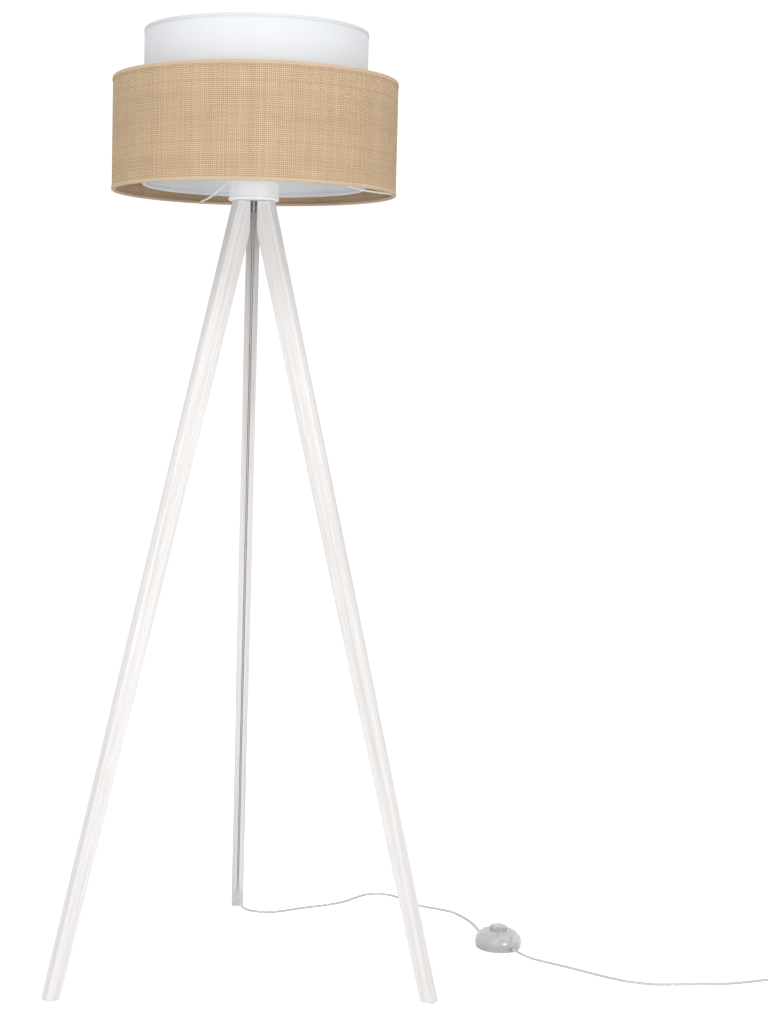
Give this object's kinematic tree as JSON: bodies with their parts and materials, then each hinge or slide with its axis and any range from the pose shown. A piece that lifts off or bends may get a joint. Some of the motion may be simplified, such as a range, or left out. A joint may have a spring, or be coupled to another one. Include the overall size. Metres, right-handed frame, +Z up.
{
  "type": "tripod floor lamp",
  "caption": "Tripod floor lamp with tapered white timber legs, turned hub, two-tier drum shade, screw lampholder and clear foot switch on a flat flex.",
  "frame": {"origin": "on the floor, at the middle of the box around the tripod and shade, the free flex and what is on it left out", "axes": "+Z up along the lamp's axis, +Y towards the grooved rear leg, +X towards the side on which the flex leaves"},
  "size_m": [1.1406, 0.5691, 1.3375],
  "materials": {
    "white_lacquered_wood": "satin white lacquer over open grain",
    "zinc_plated_steel": "bright zinc",
    "beech": "plain",
    "white_thermoplastic": "moulded",
    "holder_insert_plastic": "moulded",
    "brass": "plain",
    "opal_glass": "opal",
    "white_coated_wire": "white powder coat",
    "jute_cloth": "plain woven, natural",
    "jute_tape": "folded edge tape",
    "white_laminated_cloth": "smooth laminated",
    "clear_flex": "clear over tinned cores",
    "clear_polycarbonate": "clear moulded",
    "soft_pad": "soft pad",
    "white_tie": "plain",
    "white_plug_plastic": "moulded"
  },
  "bodies": {
    "stand": {"leg_rear": "white_lacquered_wood", "leg_left": "white_lacquered_wood", "leg_right": "white_lacquered_wood", "hub": "white_lacquered_wood", "leg_screw_rear": "zinc_plated_steel", "leg_screw_left": "zinc_plated_steel", "leg_screw_right": "zinc_plated_steel", "threaded_tube": "zinc_plated_steel", "tube_nut": "zinc_plated_steel", "case_screw_1": "zinc_plated_steel", "case_screw_2": "zinc_plated_steel", "button_spring": "zinc_plated_steel", "leg_dowel_rear": "beech", "leg_dowel_left": "beech", "leg_dowel_right": "beech", "holder_cap": "white_thermoplastic", "holder_shell": "white_thermoplastic", "contact_block": "white_thermoplastic", "flex_clamp_1": "white_thermoplastic", "flex_clamp_2": "white_thermoplastic", "holder_insert": "holder_insert_plastic", "screw_contact": "brass", "centre_contact": "brass", "terminal_screw_live": "brass", "terminal_screw_neutral": "brass", "switch_terminal_1": "brass", "switch_terminal_2": "brass", "plug_pin_1": "brass", "plug_pin_2": "brass", "leg_flex": "clear_flex", "core_live": "clear_flex", "core_neutral": "clear_flex", "flex_to_switch": "clear_flex", "flex_to_coil": "clear_flex", "flex_coil": "clear_flex", "plug_lead": "clear_flex", "switch_case": "clear_polycarbonate", "switch_base": "clear_polycarbonate", "switch_foot_pad": "soft_pad", "coil_tie": "white_tie", "plug_body": "white_plug_plastic", "plug_relief": "white_plug_plastic"},
    "shade": {"spider_ring": "white_coated_wire", "spider_arm_1": "white_coated_wire", "spider_arm_2": "white_coated_wire", "spider_arm_3": "white_coated_wire", "outer_bottom_ring": "white_coated_wire", "inner_bottom_ring": "white_coated_wire", "outer_top_ring": "white_coated_wire", "inner_top_ring": "white_coated_wire", "outer_shade": "jute_cloth", "inner_shade": "white_laminated_cloth", "outer_tape_bottom": "jute_tape", "outer_tape_top": "jute_tape"},
    "ring_nut": {"shade_ring_nut": "white_thermoplastic"},
    "bulb": {"bulb_cap": "zinc_plated_steel", "bulb_tip": "zinc_plated_steel", "bulb_glass": "opal_glass"},
    "foot_button": {"switch_button": "clear_polycarbonate", "button_plunger": "zinc_plated_steel"}
  },
  "joints": [
    {"name": "shade_turn", "type": "hinge", "parent": "stand", "child": "shade", "pos_m": [-0.00259, -0.05565, 1.15], "axis": [0, 0, 1], "continuous": true},
    {"name": "ring_nut_rise", "type": "slide", "parent": "stand", "child": "ring_nut", "axis": [0, 0, 1], "range_m": [0, 0.018]},
    {"name": "bulb_draw", "type": "slide", "parent": "stand", "child": "bulb", "axis": [0, 0, 1], "range_m": [0, 0.029]},
    {"name": "foot_button_press", "type": "slide", "parent": "stand", "child": "foot_button", "axis": [0, 0, -1], "range_m": [0, 0.004], "stiffness_N_per_m": 2500, "springref_m": -0.002, "deforming": ["button_spring"]}
  ]
}
